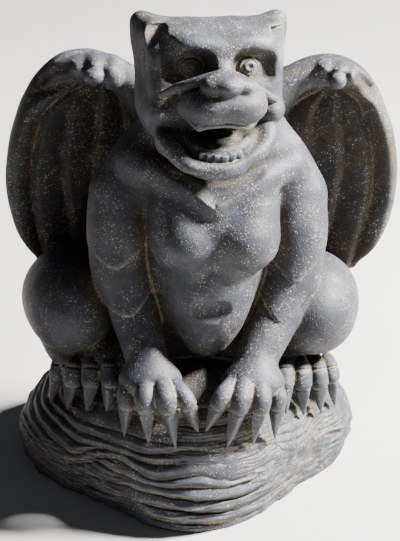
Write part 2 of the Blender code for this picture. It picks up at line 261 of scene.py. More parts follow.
def wedge(planes, low, high, place=WORLD):
    """What lies behind all of some planes, each given by three points seen anticlockwise from outside."""
    corners = [[place.point(p) for p in plane] for plane in planes]
    normals = [unit(np.cross(b - a, c - a)) for a, b, c in corners]
    box_corners = np.array([place.point(corner) for corner in itertools.product(*zip(low, high))])

    def distance(x, y, z):
        result = None
        for (a, _, _), n in zip(corners, normals):
            side = (x - a[0]) * n[0] + (y - a[1]) * n[1] + (z - a[2]) * n[2]
            result = side if result is None else np.maximum(result, side)
        return result

    return distance, box_corners.min(0), box_corners.max(0)


def claw(root, tip, radius, place=WORLD):
    """A pointed claw with a keel along its top and bottom."""
    root, tip, radius = place.point(root), place.point(tip), radius * MM
    length = np.linalg.norm(tip - root)
    here = Place(root, facing(tip - root))
    squareness = 1.30

    def distance(x, y, z):
        x, y, z = here.local(x, y, z)
        share = np.clip(y / length, 0, 1)
        own = radius * ((1 - share) ** 0.85 * 0.92 + 0.08)
        x, z = np.abs(x) + 0.0004, np.abs(z) + 0.0004
        across = (x ** squareness + z ** squareness) ** (1 / squareness)
        return np.maximum(np.maximum((across - own) * 0.85, y - length), -y - radius * 0.3)

    spread = here.rotation @ np.array([[-radius, 0, -radius], [radius, length, radius]]).T
    low = np.minimum(np.minimum(root, tip) - radius, here.origin + spread.min(1))
    high = np.maximum(np.maximum(root, tip) + radius, here.origin + spread.max(1))
    return distance, low, high


class Block:
    """The stone, as distances on a grid whose spacing may differ along its axes."""

    def __init__(self, axes):
        self.axes = [np.asarray(axis, np.float32) for axis in axes]
        self.field = np.full([len(axis) for axis in self.axes], FAR, np.float32)

    def window(self, low, high, margin):
        cut = []
        for axis, start, end in zip(self.axes, low, high):
            first = max(int(np.searchsorted(axis, start - margin)) - 1, 0)
            last = min(int(np.searchsorted(axis, end + margin)) + 1, len(axis))
            cut.append(slice(first, max(last, first + 1)))
        x, y, z = (axis[part] for axis, part in zip(self.axes, cut))
        return tuple(cut), x[:, None, None], y[None, :, None], z[None, None, :]

    def add(self, form, blend):
        """Join a form to the stone, rounding the corner between them over blend (mm)."""
        distance, low, high = form
        cut, x, y, z = self.window(low, high, max(blend * MM, LEAST_MARGIN))
        self.field[cut] = smooth_min(self.field[cut], distance(x, y, z), blend * MM)

    def cut(self, form, blend):
        """Take a form out of the stone, rounding the edge over blend (mm)."""
        distance, low, high = form
        cut, x, y, z = self.window(low, high, max(blend * MM, LEAST_MARGIN))
        self.field[cut] = smooth_max(self.field[cut], -distance(x, y, z), blend * MM)

    def raise_skin(self, lift, low, high):
        """Move the skin outwards by lift(x, y, z), only near the skin."""
        cut, x, y, z = self.window(low, high, 0)
        part = self.field[cut]
        near = np.nonzero(np.abs(part) < NEAR)
        part[near] -= lift(x[near[0], 0, 0], y[0, near[1], 0], z[0, 0, near[2]])

    def sample(self, points):
        """Distances at points, between grid points."""
        whole, share = [], []
        for k, axis in enumerate(self.axes):
            at = np.clip(np.interp(points[:, k], axis, np.arange(len(axis))), 0, len(axis) - 1.001)
            whole.append(at.astype(int))
            share.append((at - whole[-1]).astype(np.float32))
        return between(self.field, whole, share)

    def skin(self):
        """Points and four-sided faces of the skin."""
        grid = openvdb.FloatGrid(FAR)
        grid.copyFromArray(np.clip(self.field, -FAR, FAR))
        points, quads = grid.convertToQuads(0.0)
        for k, axis in enumerate(self.axes):
            points[:, k] = np.interp(points[:, k], np.arange(len(axis)), axis)
        return points, quads


def spaced(low, high, step, stretches=()):
    """Grid axis; stretches (from, to, step) are closer-spaced."""
    parts, start = [], low
    for a, b, close in stretches:
        parts += [np.arange(start, a, step), np.arange(a, b, close)]
        start = b
    parts.append(np.arange(start, high + step, step))
    return np.concatenate(parts)


class Unevenness:
    """Smooth random swells, from -1 to 1, the same every time; they repeat after so many cells."""
    cells = 32

    def __init__(self, seed):
        self.lattice = np.random.default_rng(seed).uniform(-1, 1, (self.cells,) * 3).astype(np.float32)

    def __call__(self, x, y, z, size):
        """Swells about as wide as size."""
        corner, ease = [], []
        for axis in (x, y, z):
            at = axis / size + 2 * self.cells + 0.5
            whole = np.floor(at).astype(int)
            share = (at - whole).astype(np.float32)
            corner.append(whole)
            ease.append(share * share * (3 - 2 * share))
        return between(self.lattice, corner, ease)


# ---------------------------------------------------------------- the rock

ROCK_HEIGHT = 0.180
ROCK_CENTRE = (-0.008, -0.005)
# The outline's distance from the centre in millimetres, by direction in degrees from +X
ROCK_REACH = (
    (-90, 195), (-70, 181), (-45, 162), (-25, 168), (-5, 197), (12, 212), (35, 196), (60, 172), (90, 160),
    (120, 168), (150, 200), (180, 213), (200, 198), (222, 178), (240, 178), (255, 191),
)
ROCK_LOW, ROCK_TOP = np.array([-0.25, -0.23, 0.0]), np.array([0.24, 0.20, 0.19])


def rock_reach(angle):
    """The outline's distance in a direction (radians), on a smooth closed curve through its marks."""
    degrees = (np.degrees(angle) + 90) % 360 - 90
    marks = np.array([(a + 360 * turn, reach * MM) for turn in (-1, 0, 1) for a, reach in ROCK_REACH])
    k = np.clip(np.searchsorted(marks[:, 0], degrees, side="right") - 1, 1, len(marks) - 3)
    a, r = marks[:, 0], marks[:, 1]
    share = (degrees - a[k]) / (a[k + 1] - a[k])
    leaving = (r[k + 1] - r[k - 1]) / (a[k + 1] - a[k - 1]) * (a[k + 1] - a[k])
    arriving = (r[k + 2] - r[k]) / (a[k + 2] - a[k]) * (a[k + 1] - a[k])
    eased = share * share * (3 - 2 * share)
    swing = share * (1 - share) * ((1 - share) * leaving - share * arriving)
    return r[k] + (r[k + 1] - r[k]) * eased + swing


def rock_top(x, y):
    """Height of the rock's upper surface, which falls away from the middle."""
    sideways = 0.50 * (np.sqrt(x * x + 0.03 ** 2) - 0.03)
    forwards = 3.9 * np.maximum(-y - 0.078, 0) ** 2
    backwards = 3.0 * np.maximum(y - 0.075, 0) ** 2
    return np.maximum(ROCK_HEIGHT - sideways - forwards - backwards, 0.03)


def rock_place(x, y):
    """Distance from the rock's middle, direction and outline distance there."""
    across, back = x - ROCK_CENTRE[0], y - ROCK_CENTRE[1]
    angle = np.arctan2(back, across)
    return np.sqrt(across * across + back * back), angle, rock_reach(angle).astype(np.float32)


def rock(lift):
    """A boulder with upright swelling sides and a flat underside, its skin moved out by lift(x, y, z)."""
    squareness = 5

    def distance(x, y, z):
        rho, _, reach = rock_place(x, y)
        top = rock_top(x, y)
        level = np.maximum(z, 0) / top
        wide = reach * (0.955 + 0.045 * np.sin(np.pi * np.clip(level, 0, 1)))
        a, b = rho / wide, level
        near = np.maximum((a ** squareness + b ** squareness) ** (1 / squareness), 0.05)
        steep = np.sqrt((a ** (squareness - 1) / wide) ** 2 + (b ** (squareness - 1) / top) ** 2)
        side = (near - 1) * near ** (squareness - 1) / np.maximum(steep, 1e-3)
        side = np.clip(side * 0.9, -FAR, FAR)
        skin = np.nonzero(np.abs(side) < NEAR)
        side[skin] -= lift(x[skin[0], 0, 0], y[0, skin[1], 0], z[0, 0, skin[2]])
        return smooth_max(side, -z, 0.003)

    return distance, ROCK_LOW, ROCK_TOP


# Lines between the rock's weathered layers, from the top line down: degrees from the front towards the
# beast's left, then heights there in millimetres. Where two lines meet, the layer between has run out.
LAYER_LINES = (
    ((-170, -120, -70, -45, -15, 12, 45, 70, 110, 150), (176, 168, 150, 148, 158, 160, 142, 146, 165, 172)),
    ((-170, -135, -100, -60, -30, 0, 25, 45, 72, 110, 140),
     (150, 138, 142, 118, 122, 139, 121, 112, 118, 130, 146)),
    ((-175, -120, -95, -62, -42, -25, -5, 13, 27, 40, 55, 70, 100, 125, 150),
     (128, 116, 118, 105, 99, 103, 124, 114, 101, 102, 92, 108, 108, 119, 121)),
    ((-175, -155, -100, -65, -50, -37, -20, 0, 14, 30, 44, 55, 72, 110, 140, 160),
     (106, 96, 100, 90, 83, 87, 93, 105, 96, 101, 83, 76, 92, 101, 94, 106)),
    ((-170, -125, -105, -65, -54, -41, -10, 10, 33, 42, 52, 68, 90, 120, 165),
     (92, 86, 90, 68, 62, 85, 100, 100, 100, 72, 64, 77, 85, 80, 88)),
    ((-165, -115, -75, -60, -40, -31, -17, 0, 14, 30, 53, 70, 83, 125, 150),
     (74, 72, 60, 44, 70, 80, 70, 83, 68, 74, 52, 69, 78, 66, 74)),
    ((-170, -120, -75, -60, -42, -28, 0, 17, 34, 53, 68, 91, 115, 140),
     (66, 60, 48, 40, 63, 59, 66, 60, 67, 52, 67, 62, 54, 62)),
    ((-165, -140, -115, -62, -42, -14, 0, 15, 32, 53, 75, 88, 135),
     (46, 49, 40, 30, 44, 52, 51, 41, 46, 49, 55, 44, 50)),
    ((-165, -110, -65, -40, -9, 10, 33, 60, 80, 120, 150), (30, 30, 18, 28, 36, 29, 29, 22, 40, 26, 33)),
    ((-165, -120, -80, -45, -25, 0, 28, 60, 82, 110), (14, 18, 12, 10, 20, 18, 15, 11, 20, 12)),
)


def layer_heights(front):
    """Height of every layer line in directions given by degrees from the front, never crossing each other."""
    heights = []
    for marks in LAYER_LINES:
        path = smooth_path(np.transpose(marks), 5)
        height = np.interp(front, path[:, 0], path[:, 1] * MM, period=360)
        heights.append(np.minimum(height, heights[-1]) if heights else height)
    return heights


def rock_layers(uneven):
    """Weathered layers round the rock: how far the skin stands out."""
    # A layer's skin swells to 1 in its middle and sinks to 0 at its edges; this much is the unlayered skin
    rest = 0.62

    def lift(x, y, z):
        rho, angle, reach = rock_place(x, y)
        front = (np.degrees(angle) + 270) % 360 - 180
        inset = np.maximum(reach * 0.985 - rho, 0)
        level = z + 0.85 * inset + 0.0040 * uneven(x, y, z * 1.5, 0.045)
        level = level + 0.0016 * uneven(x + 1, y, z * 1.5, 0.017)
        heights = layer_heights(front)
        edges = [heights[0] + 0.030] + heights + [np.full(len(level), -0.004)]
        layer, crease = np.full(len(level), rest), np.full(len(level), 1.0)
        for upper, lower in zip(edges, edges[1:]):
            thick = upper - lower
            share = np.clip((level - lower) / np.maximum(thick, 1e-4), 0, 1)
            bulge = np.where(share < 0.40, (share / 0.40) ** 0.60, ((1 - share) / 0.60) ** 0.70)
            inside = (level > lower) & (level <= upper) & (thick > 1e-4)
            layer = np.where(inside, rest + (bulge - rest) * np.clip(thick / 0.013, 0, 1.15), layer)
            crease = np.minimum(crease, np.where(thick > 0.0012, np.abs(level - lower), 1.0))
        left_rough = rise(-front, 10, 45) * rise(-level, -0.085, -0.055)
        right_rough = rise(front, 18, 35) * rise(-level, -0.075, -0.05)
        rough = np.maximum(left_rough, right_rough * 0.8)
        depth = 0.0058 * (1 - 0.35 * rough) * rise(level, 0.0, 0.02) * (1 - 0.35 * rise(inset, 0.004, 0.03))
        depth = depth * np.clip(0.75 + 1.10 * uneven(x, y + 2, z, 0.038), 0.10, 1.45)
        fine = (level + 0.004 * uneven(x, y + 4, z * 2, 0.022)) / 0.0062
        ripple = 0.0010 * np.maximum(rough, rise(uneven(x, y + 8, z, 0.045), 0.0, 0.5))
        ripple = ripple * (np.abs(fine - np.round(fine)) * 4 - 1)
        chips = (0.0009 + 0.0010 * rough) * uneven(x, y, z + 3, 0.014)
        cut = 0.0013 * np.exp(-(crease / 0.0018) ** 2) * (1 - 0.5 * rise(inset, 0.01, 0.04))
        cut = cut * np.clip(0.35 + 1.6 * uneven(x, y + 6, z, 0.026), 0, 1)
        fade = rise(-inset, -0.13, -0.09)
        return (depth * (layer - rest) - cut) * fade + (ripple + chips) * fade

    return lift


# ---------------------------------------------------------------- the trunk

TRUNK_MIDDLE = 3
BREAST_MIDDLE = 6
BREAST_HALF_SPACING = 34


def add_trunk(block):
    """Chest, waist, hips, back, neck, belly, shoulders, collar ridge and breast."""
    block.add(ellipsoid((0, 0, 360), (112, 78, 75)), 30)
    block.add(ellipsoid((0, -20, 290), (86, 80, 90)), 30)
    block.add(ellipsoid((0, 10, 210), (120, 95, 85)), 30)
    block.add(ellipsoid((0, 48, 325), (104, 64, 140)), 30)
    block.add(limb([(2, 10, 400, 82), (2, 0, 455, 74), (0, -10, 500, 66)], 12), 30)
    # A plain row of knobs down the spine
    for height in np.linspace(235, 430, 9):
        back = 48 + 64 * np.sqrt(1 - ((height - 325) / 140) ** 2)
        block.add(ellipsoid((0, back, height), (10.5, 7.5, 9.5)), 6)
    for side in SIDES:
        shoulder = [(50, -5, 450, 34), (78, -14, 412, 38), (99, -20, 372, 40)]
        block.add(limb(mirrored(shoulder, side, TRUNK_MIDDLE), 8), 20)
    belly = [(-50, 350, 69), (-67, 300, 61), (-82, 255, 48), (-89, 222, 31)]
    block.add(limb([(TRUNK_MIDDLE, y, z, r) for y, z, r in belly], 16), 12)
    for side in SIDES:
        centre = (BREAST_MIDDLE + side * BREAST_HALF_SPACING, -86.5, 342)
        block.add(ellipsoid(centre, (40.5, 43, 38.5)), 6)
        chest = [(46, -64, 398, 26), (41, -77, 372, 34), (35, -86.5, 348, 38)]
        block.add(limb(mirrored(chest, side, BREAST_MIDDLE), 6), 10)
        under = [(6, -129, 318, 3), (18, -131.5, 305, 7), (36, -131, 299, 9), (54, -122, 304, 7.5),
                 (68, -108, 316, 4)]
        block.cut(limb(mirrored(under, side, BREAST_MIDDLE), 6), 8)
    collar = [(0, -98, 394.5, 12.5), (20, -93, 402.5, 13.5), (38, -85, 410.5, 14.5), (58, -72, 416.5, 16),
              (88, -42, 420, 20)]
    for side in SIDES:
        block.add(limb(mirrored(collar, side, TRUNK_MIDDLE), 6), 14)
    # The neck is set back above the collar's V, and a nick marks its foot
    for side in SIDES:
        drop = 3 if side > 0 else 0
        throat = [(0, -116, 418.5, 21.5), (20, -112, 427.5 - drop, 20), (38, -104, 435.5 - drop, 18.8),
                  (58, -92.5, 442, 16.5), (76, -82, 447, 10)]
        block.cut(limb(mirrored(throat, side, TRUNK_MIDDLE), 6), 1)
    block.cut(bone((TRUNK_MIDDLE - 1, -114, 402), (TRUNK_MIDDLE, -113.5, 397), 4.5, 2.8), 1.2)


def navel():
    """A lens-shaped scoop, deepest under its upper edge."""
    return ellipsoid((4.5, -134.5, 264), (34.5, 11.5, 19.5), WORLD, turned(x=-32))


# ---------------------------------------------------------------- arms and hands

HANDS_MIDDLE = -4

# Each arm's two sleeves of muscle end in points: x and height in metres, and the edge's slopes outwards and
# inwards
MUSCLE_POINTS = {
    -1: ((-0.1072, 0.3000, 0.52, 0.80), (-0.0905, 0.2470, 0.05, 1.00)),
    1: ((0.1021, 0.2875, 0.91, 1.04), (0.0859, 0.2437, 0.76, 1.30)),
}


def arm(side):
    """Upper arm and forearm; the muscles above each point stand proud of what is below it."""
    upper = [(100, -22, 372, 40), (104, -40, 330, 38), (102, -52, 285, 33)]
    lower = [(102, -50, 292, 33), (85, -76, 240, 28.5)]
    wrist = [(68 - side * 3, -106, 205, 25.5), (60 - side * 4, -128, 186, 24)]
    upper = limb(mirrored(upper, side, 1), 8)
    lower = limb(mirrored(lower, side, 1) + mirrored(wrist, side), 8)

    def distance(x, y, z):
        result = smooth_min(upper[0](x, y, z), lower[0](x, y, z), 0.010)
        for middle, height, outward, inward in MUSCLE_POINTS[side]:
            away = x - middle
            slope = np.where(away * side > 0, outward, inward)
            above = z - height - slope * (np.sqrt(away * away + 0.004 ** 2) - 0.004)
            shown = (0.25 + 0.75 * rise(-y, 0.03, 0.07)) * np.exp(-(away / 0.034) ** 4)
            proud = rise(above, -0.0012, 0.0014) * (0.0003 + 0.0018 * np.exp(-np.maximum(above, 0) / 0.018))
            sunk = rise(-above, -0.0014, 0.0) * 0.0010 * np.exp(np.minimum(above, 0) / 0.011)
            result = result - (proud - sunk) * shown
        return result

    return distance, np.minimum(upper[1], lower[1]) - 0.006, np.maximum(upper[2], lower[2]) + 0.006


def add_digit(block, stations, tip, middle, side, blend, crease=False):
    """A finger or toe, swollen above its joint line, and its claw; a toe's knuckle has a crease too."""
    *stations, tip = mirrored((*stations, tip), side, middle)
    block.add(limb(stations, 6), blend)
    *end, radius = stations[-1]
    aim = unit(np.subtract(tip, end))
    joint = end + aim * radius * 0.42
    block.add(claw(joint - aim, tip, radius * 1.06), 0.3)
    block.cut(ring(joint, radius, 2.3, WORLD, facing(aim + (0, 0.10, 0))), 0.4)
    if crease:
        *knuckle, radius = stations[1]
        block.cut(ring(knuckle, radius * 1.09, 1.5, WORLD, facing(aim + (0, -0.5, 0))), 0.8)


# Root, knuckle, swelling and last joint of each finger, then its claw's tip, from the innermost finger out
FINGERS = (
    (((44, -130, 181, 8), (33.5, -150, 181, 10.2), (24, -168, 175.5, 12.2), (18.5, -173.5, 169, 11.4)),
     (4, -173, 129.5)),
    (((53, -134, 184, 8.5), (48.5, -155, 184, 11), (43.5, -172, 175.5, 13), (41, -177, 166.5, 12.2)),
     (29.7, -179, 111)),
    (((65, -132, 184, 8.5), (66, -152, 183, 11), (67, -167, 173.5, 13), (66, -171.5, 164.5, 12.2)),
     (61, -165, 108)),
    (((76, -124, 180, 8), (82.5, -139, 177, 10.2), (87.5, -150, 167.5, 11.8), (87.5, -154.5, 159, 11)),
     (89, -144, 104)),
)


def add_arms(block):
    for side in SIDES:
        block.add(arm(side), 3.5)
        block.add(ellipsoid((HANDS_MIDDLE + side * 60, -136, 179), (37, 30, 22.5)), 10)
        block.add(ellipsoid((HANDS_MIDDLE + side * 56, -130, 156), (40, 30, 20)), 8)
        for stations, tip in FINGERS:
            add_digit(block, stations, tip, HANDS_MIDDLE, side, 1.6)


# ---------------------------------------------------------------- legs and feet

FEET_MIDDLE = -12
TOES_MIDDLE = -6
HAUNCH_HALF_SPACING = 146

# Root, knuckle and last joint of each toe, then its claw's tip, from the innermost toe out
TOES = (
    (((106, -52, 164, 8), (104.5, -82, 165, 12), (104, -96, 154, 12)), (107, -106, 115)),
    (((127, -45, 160, 8), (126.5, -73, 160, 12.2), (127, -84.5, 148, 12)), (131, -89, 104)),
    (((148, -33, 154, 8), (147.5, -57, 152.5, 11.8), (149, -67.5, 140, 11.6)), (154.5, -69, 94.5)),
    (((164, -16, 146, 7.5), (165, -34, 144, 10.8), (167.5, -43, 134.5, 10.4)), (175.5, -39, 88)),
)


def add_legs(block):
    """Great round haunches with the shins tucked under them, and the feet."""
    for side in SIDES:
        place_x = lambda x: FEET_MIDDLE + side * x
        block.add(ellipsoid((place_x(HAUNCH_HALF_SPACING), -10, 222), (57, 80, 61)), 6)
        block.add(limb([(place_x(110), 50, 215, 60), (place_x(148), 20, 213, 54)]), 20)
        # The shin shows outside its right haunch and hides under its left one
        tuck = 34 if side > 0 else 14
        shin = [(174, 30, 158, 28), (165, -10, 156, 25), (155, -36, 150, 22)]
        block.add(limb([(place_x(x - tuck), y, z, r) for x, y, z, r in shin]), 5)
        block.add(ellipsoid((place_x(86), -42, 158), (45, 50, 32)), 10)
        for stations, tip in TOES:
            add_digit(block, stations, tip, TOES_MIDDLE, side, 1.4, True)


# ---------------------------------------------------------------- wings

# The plane is in metres, as the wing's own distances are
WING_PLANE = 0.094
KNOB_MIDDLE = 10
# Half the outline, from the neck over the crown, down the rim and back under
WING_RIM = (
    (50, 455), (90, 489), (120, 505), (148, 510), (179, 502), (206, 475), (224, 438), (235, 398), (240, 355),
    (237, 315), (225, 274), (205, 243), (182, 220), (80, 200),
)
# Fleshy lumps folded over each wrist, and the knob below them: centre, radii and blend
RIGHT_WRIST = (
    ((140, 66, 498), (30, 26, 15), 8),
    ((125, 58, 501), (12.5, 23, 12), 6),
    ((144, 60, 506), (12.5, 23, 11.5), 6),
    ((162, 62, 500), (11, 20, 10.5), 6),
    ((124, 44, 492.5), (13, 11, 15), 5),
    ((145, 39, 496), (13, 12, 11), 1.5),
)
LEFT_WRIST = (
    ((140, 68, 498), (28, 24, 14.5), 8),
    ((129, 62, 507), (11, 20, 8.5), 4),
    ((145, 56, 506.5), (12, 16, 8), 4),
    ((159, 54, 500), (7.5, 14, 9), 4),
    ((142.5, 40, 496), (10.8, 10.8, 10.8), 1),
)
# The crest of each panel, as height and x, from the outer panel in; they spring from under the knob
WING_CRESTS = (
    ((520, 140), (485, 146), (470, 157), (459, 174.5), (443, 187.5), (420, 197.5), (394, 203.5), (365, 206.8),
     (334, 207.2), (299, 202.2), (259, 194.7), (190, 178)),
    ((520, 138), (485, 143), (470, 148), (449, 158.5), (424, 166), (393, 170.2), (362, 171), (327, 166.5),
     (285, 161), (240, 152), (190, 142)),
    ((520, 137), (485, 139), (470, 137.5), (454.5, 132), (431, 131), (402, 132.5), (375, 133.5), (330, 131),
     (280, 126), (190, 115)),
    ((520, 136), (485, 135), (472, 128.5), (456, 110), (442, 101.5), (428, 98), (400, 95), (300, 90),
     (190, 85)),
)


def outline_distance(points, x, z):
    """Signed distance to a closed outline, negative inside."""
    nearest, inside = np.inf, np.zeros(np.broadcast(x, z).shape, bool)
    for (ax, az), (bx, bz) in zip(points, np.roll(points, -1, 0)):
        wide, tall = bx - ax, bz - az
        share = np.clip(((x - ax) * wide + (z - az) * tall) / max(wide * wide + tall * tall, 1e-12), 0, 1)
        nearest = np.minimum(nearest, np.hypot(x - ax - share * wide, z - az - share * tall))
        crosses = (az > z) != (bz > z)
        inside ^= crosses & (x < ax + wide * (z - az) / (tall if tall else 1e-12))
    return np.where(inside, -nearest, nearest)


def wing_relief(x, z):
    """How far the panels of a wing stand forward: each rises at its outer crest and rolls away inwards."""
    crests = []
    for crest in WING_CRESTS:
        path = smooth_path(crest, 8) * MM
        path = path[np.argsort(path[:, 0])]
        crests.append(np.interp(z, path[:, 0], path[:, 1]))
    edges = crests + [crests[-1] - 0.045]
    relief = np.zeros(np.broadcast(x, z).shape)
    for outer, inner in zip(edges, edges[1:]):
        share = (outer - x) / np.maximum(outer - inner, 0.003)
        roll = 1 - 0.92 * np.clip(share, 0, 1) ** 1.6
        crest = rise(outer - x, -0.0040, 0.0085)
        tall = 0.0120 * np.clip((outer - inner) / 0.03, 0, 1.1)
        relief = np.maximum(relief, np.where((outer - x > -0.0040) & (share < 1), crest * roll * tall, 0))
    # The outermost panel rolls out to the rim
    share = np.clip((x - crests[0] - 0.0015) / 0.040, 0, 1)
    outer_roll = 0.0165 * np.sin(np.pi * np.clip(share * 1.02, 0, 1)) ** 0.9
    return np.maximum(relief, outer_roll)


def wing(side):
    """A folded wing: a slab with a rounded rim whose front carries the panels."""
    outline = smooth_path(WING_RIM, 6) * MM

    def distance(x, y, z):
        edge = outline_distance(outline, side * x + 0 * z, z + 0 * x)
        shifted = side * (x - KNOB_MIDDLE * MM * rise(z, 0.435, 0.475))
        relief = wing_relief(shifted, z) * rise(-z, -0.500, -0.470)
        front = WING_PLANE - 0.0165 - relief - 0.16 * (side * x - 0.150)
        belly = np.sin(np.clip((side * x - 0.06) / 0.17, 0, 1) * np.pi)
        back = WING_PLANE + 0.012 + 0.006 * belly + 0.45 * relief
        slab = smooth_max((front - y) * 0.75, y - back, 0.008)
        return smooth_max(slab, edge, 0.018)

    low, high = np.array([0.04, 0.05, 0.19]), np.array([0.25, 0.13, 0.52])
    if side < 0:
        low[0], high[0] = -high[0], -low[0]
    return distance, low, high


def add_wings(block):
    for side in SIDES:
        block.add(wing(side), 8)
        wing_arm = [(60, 60, 450, 30), (88, 64, 476, 23), (112, 66, 491, 18.5), (140, 68, 496, 16.5),
                    (172, 74, 488, 15)]
        block.add(limb(mirrored(wing_arm, side)), 7)
        # Two folds run from the wrist out into the rim
        folds = (((160, 62, 505, 6), (180, 64, 499, 5), (198, 70, 483, 3.5)),
                 ((158, 55, 495, 6), (177, 60, 486, 5), (192, 67, 470, 3.2)))
        for fold in folds:
            block.add(limb(mirrored(fold, side)), 7)
        wrist = LEFT_WRIST if side > 0 else RIGHT_WRIST
        for centre, radii, blend in wrist:
            block.add(ellipsoid(*mirrored([centre], side, KNOB_MIDDLE), radii), blend)


# ---------------------------------------------------------------- the head, in its own frame

HEAD = WORLD.inside((-7.5, -45, 515), turned(z=11.0) @ turned(x=-14.0) @ turned(y=1.5))
MOUTH_MIDDLE = -4


def both_sides(stations, middle=0.0):
    """A path from the right side through the middle to the left, given from the middle outwards."""
    return mirrored(stations[:0:-1], -1, middle) + mirrored(stations, 1, middle)


def add_skull(block):
    """Box-shaped skull with drawn-out ears at its corners, a smooth forehead, brows, cheeks and jaw."""
    h = HEAD
    block.add(box((0, -4, 20), (77, 54, 60), 26, h), 20)
    block.add(ellipsoid((0, -2, -24), (76, 57, 50), h), 20)
    for side in SIDES:
        ear_edge = [(78.5, -6, 78.5, 9.5), (76.5, -5, 56, 11.5), (73, -4, 25, 11), (72, -4, -10, 10)]
        crown_edge = [(77.5, -8, 78.5, 9.5), (60, -12, 73.5, 11), (30, -14, 69, 12)]
        for edge in (ear_edge, crown_edge):
            block.add(limb(mirrored(edge, side), 4, h), 12)
        block.add(ellipsoid((side * 70, -12, 64), (15, 34, 19), h), 12)
    # The forehead is one gently swelling slope from the crown to the brows
    block.add(ellipsoid((0, -20, 40), (80, 52, 43), h), 10)
    brows = ((0, -61.5, 53, 8.5), (18, -63, 56, 8.5), (36, -61.5, 57, 8.5), (51, -55, 52.5, 8),
             (64, -44, 40, 7.5))
    block.add(limb(both_sides(brows), 4, h), 12)
    block.add(limb([(0, -55, 48, 11), (-0.5, -58, 36, 11), (-1, -70, 22, 14)], 4, h), 6)
    # Upright corner between the side of the face and the eye's hollow
    for side in SIDES:
        corner = [(68, -42, 60, 6), (69, -42.5, 30, 6.6), (67, -45, 5, 8.5), (65, -46, -15, 10)]
        block.add(limb(mirrored(corner, side), 4, h), 5)


def add_eyes(block):
    """Square-cornered hollows under the brows, and disc eyes carved with rings."""
    h = HEAD
    for side in SIDES:
        socket = h.inside((side * 41.2, -76.5, 28.5), turned(z=side * 18))
        block.cut(box((0, 0, 0), (27.5, 21.5, 18.5), 11, socket), 6)
        block.cut(ellipsoid((side * 34, -78, 33), (22.5, 22.5, 17.5), h), 7)
        block.cut(ellipsoid((side * 20.5, -79, 29), (8.5, 19, 15), h), 5)
        # Sharp outer corner of the hollow
        block.cut(ellipsoid((side * 59, -64, 21.5), (8, 14, 8.5), h), 2)
    # The right hollow runs up beside the forehead
    block.cut(limb([(-56.5, -70, 33, 13), (-58.5, -66.5, 47, 11.5), (-62.5, -59, 58, 8.5), (-65, -53, 63, 5)],
                   4, h), 7)
    for side in SIDES:
        block.add(eye(h.inside((side * 32, -51.5, 31.6), turned(z=side * 8, x=4))), 0.5)


def eye(place):
    """A low dome with a rim, an iris ring and a pupil cut in it."""
    r = np.array([0.0172, 0.0118, 0.0143])

    def distance(x, y, z):
        x, y, z = place.local(x, y, z)
        dome = ((np.sqrt((x / r[0]) ** 2 + (y / r[1]) ** 2 + (z / r[2]) ** 2)) - 1) * r[1]
        out = np.sqrt(x * x + (z * 1.20) ** 2)
        grooves = sum(0.0019 * np.exp(-((out - radius) / width) ** 2)
                      for radius, width in ((0.0133, 0.0012), (0.0088, 0.0013)))
        pupil = 0.0028 * np.exp(-(out / 0.0034) ** 4)
        return dome + (grooves + pupil) * (y < 0)

    return distance, place.origin - 0.02, place.origin + 0.02


def add_mouth(block):
    """Jaw and cheeks, and the open mouth cut in them."""
    h = HEAD
    for side in SIDES:
        block.add(ellipsoid((side * 62, -36, -21), (17.5, 27, 16.5), h), 8)
        block.add(ellipsoid((side * 44 - 3, -34, -55), (20, 34, 20), h), 10)
    block.add(ellipsoid((-4, -46, -70), (45, 47, 24), h), 12)
    block.add(ellipsoid((-5, -69, -80), (34, 26.5, 16.5), h), 8)
    smile = ((0, -100, -55, 21), (25, -93, -53, 19), (45, -78, -48, 12.5), (62, -60, -41, 5.5))
    block.cut(limb(both_sides(smile, MOUTH_MIDDLE), 4, h), 3)
    block.cut(ellipsoid((-8, -76, -45), (25, 42, 9.5), h), 3)


def add_muzzle(block):
    """The round muzzle with the thin lip below it, and gum, teeth and the thick lower lip."""
    h = HEAD
    block.add(ellipsoid((-2, -71, -8), (49, 44, 26), h), 9)
    for side in SIDES:
        block.add(ellipsoid((side * 19.5 - 2, -75.5, -10), (30, 37.5, 23.5), h), 7)
    lip = ((-44.5, -83, -20.5, 2.8), (-37.5, -91, -28, 3.6), (-31.5, -94, -31.5, 4.2), (-22, -98, -30, 3.6),
           (-6, -100.5, -29, 3.4), (7, -99.5, -30, 3.6), (20.5, -94, -32.5, 4.2), (29, -89.5, -30.5, 3.6),
           (38, -82.5, -22.5, 2.8))
    block.add(limb(lip, 4, h), 1.2)
    for x, y, z in ((-32, -96, -34.5), (20.6, -95, -35.5)):
        block.add(bone((x, y, z + 4), (x, y + 1, z), 4.2, 1.8, h), 2.5)
    gum = [(-40, -64, -54, 4.5), (-24, -77, -60, 5.5), (-8, -82, -62.5, 5.8), (10, -81, -60.5, 6.2),
           (24, -74, -56, 6.2), (36, -62, -50, 5)]
    block.add(limb(gum, 4, h), 5)
    for x, y, z in ((-26.2, -82.5, -65.2), (-18.6, -85.6, -67.5), (-10.8, -88, -67.6), (-2.2, -88.6, -68.2),
                    (6.6, -87.8, -66.2), (14.5, -84.2, -64.5)):
        block.add(box((x, y, z), (4.1, 3.6, 4), 1.4, h, turned(x=12)), 2)
    lower_lip = [(-64, -48, -38.5, 5), (-63.7, -57, -48, 8.5), (-55, -71, -61, 10.5), (-45, -81, -73.5, 9.5),
                 (-32.5, -87, -79.5, 7), (-12, -89.5, -83.5, 4.5), (8, -88.5, -81.5, 4.5),
                 (21, -83.5, -75.5, 5), (32, -78, -69, 7.5), (43, -71, -64, 10), (53, -60, -54, 11.5),
                 (56, -52, -43, 11.5)]
    block.add(limb(lower_lip, 4, h), 5.5)


